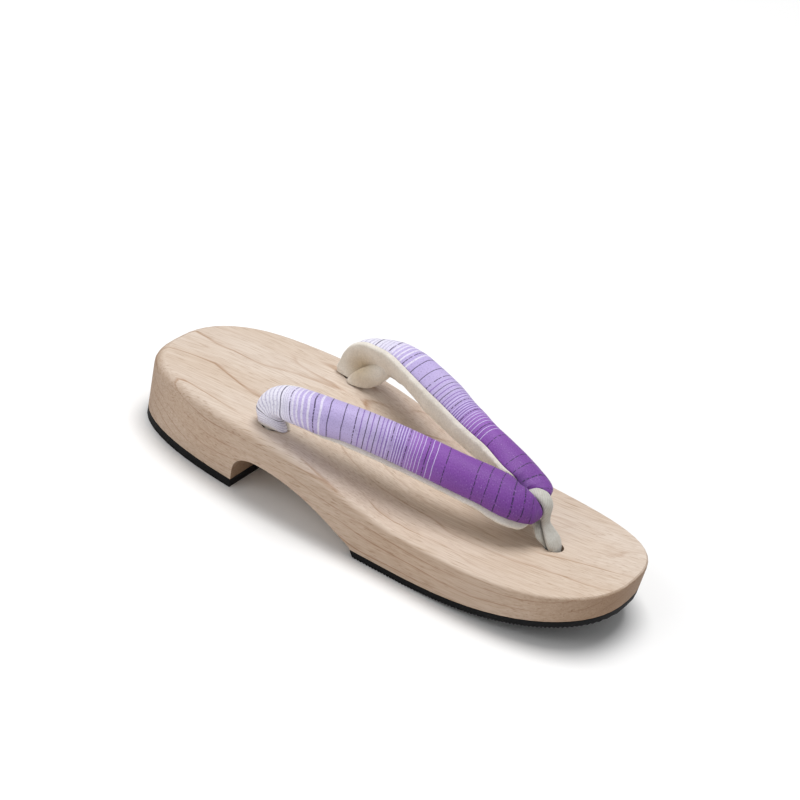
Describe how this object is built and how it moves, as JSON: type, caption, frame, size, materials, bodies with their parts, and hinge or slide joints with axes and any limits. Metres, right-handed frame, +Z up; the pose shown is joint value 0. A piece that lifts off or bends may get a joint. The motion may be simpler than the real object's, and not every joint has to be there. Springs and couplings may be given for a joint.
{
  "type": "geta sandal",
  "caption": "Wooden geta sandal with a carved heel, arch and rocker toe, rubber treads, and a padded striped V strap with a velvet lining and a cotton toe post.",
  "frame": {"origin": "Middle of the sole's length and width, on the floor that the treads stand on.", "axes": "+X along the sole to the toe, +Y to the wearer's left, +Z up."},
  "size_m": [0.24, 0.093, 0.0602],
  "materials": {
    "paulownia": "bare planed paulownia, fine lengthwise grain, soft matt",
    "tread_rubber": "black sheet rubber, matt, finely ribbed",
    "striped_cotton": "woven cotton with cross stripes from lilac white to deep purple, slight sheen",
    "velvet": "cream velvet, short nap",
    "white_cotton": "off-white cotton tube, soft twill"
  },
  "bodies": {
    "root": {"wood_base": "paulownia", "rubber_heel": "tread_rubber", "rubber_forefoot": "tread_rubber", "strap": "striped_cotton", "lining_left": "velvet", "lining_right": "velvet", "toe_post": "white_cotton"}
  },
  "joints": []
}
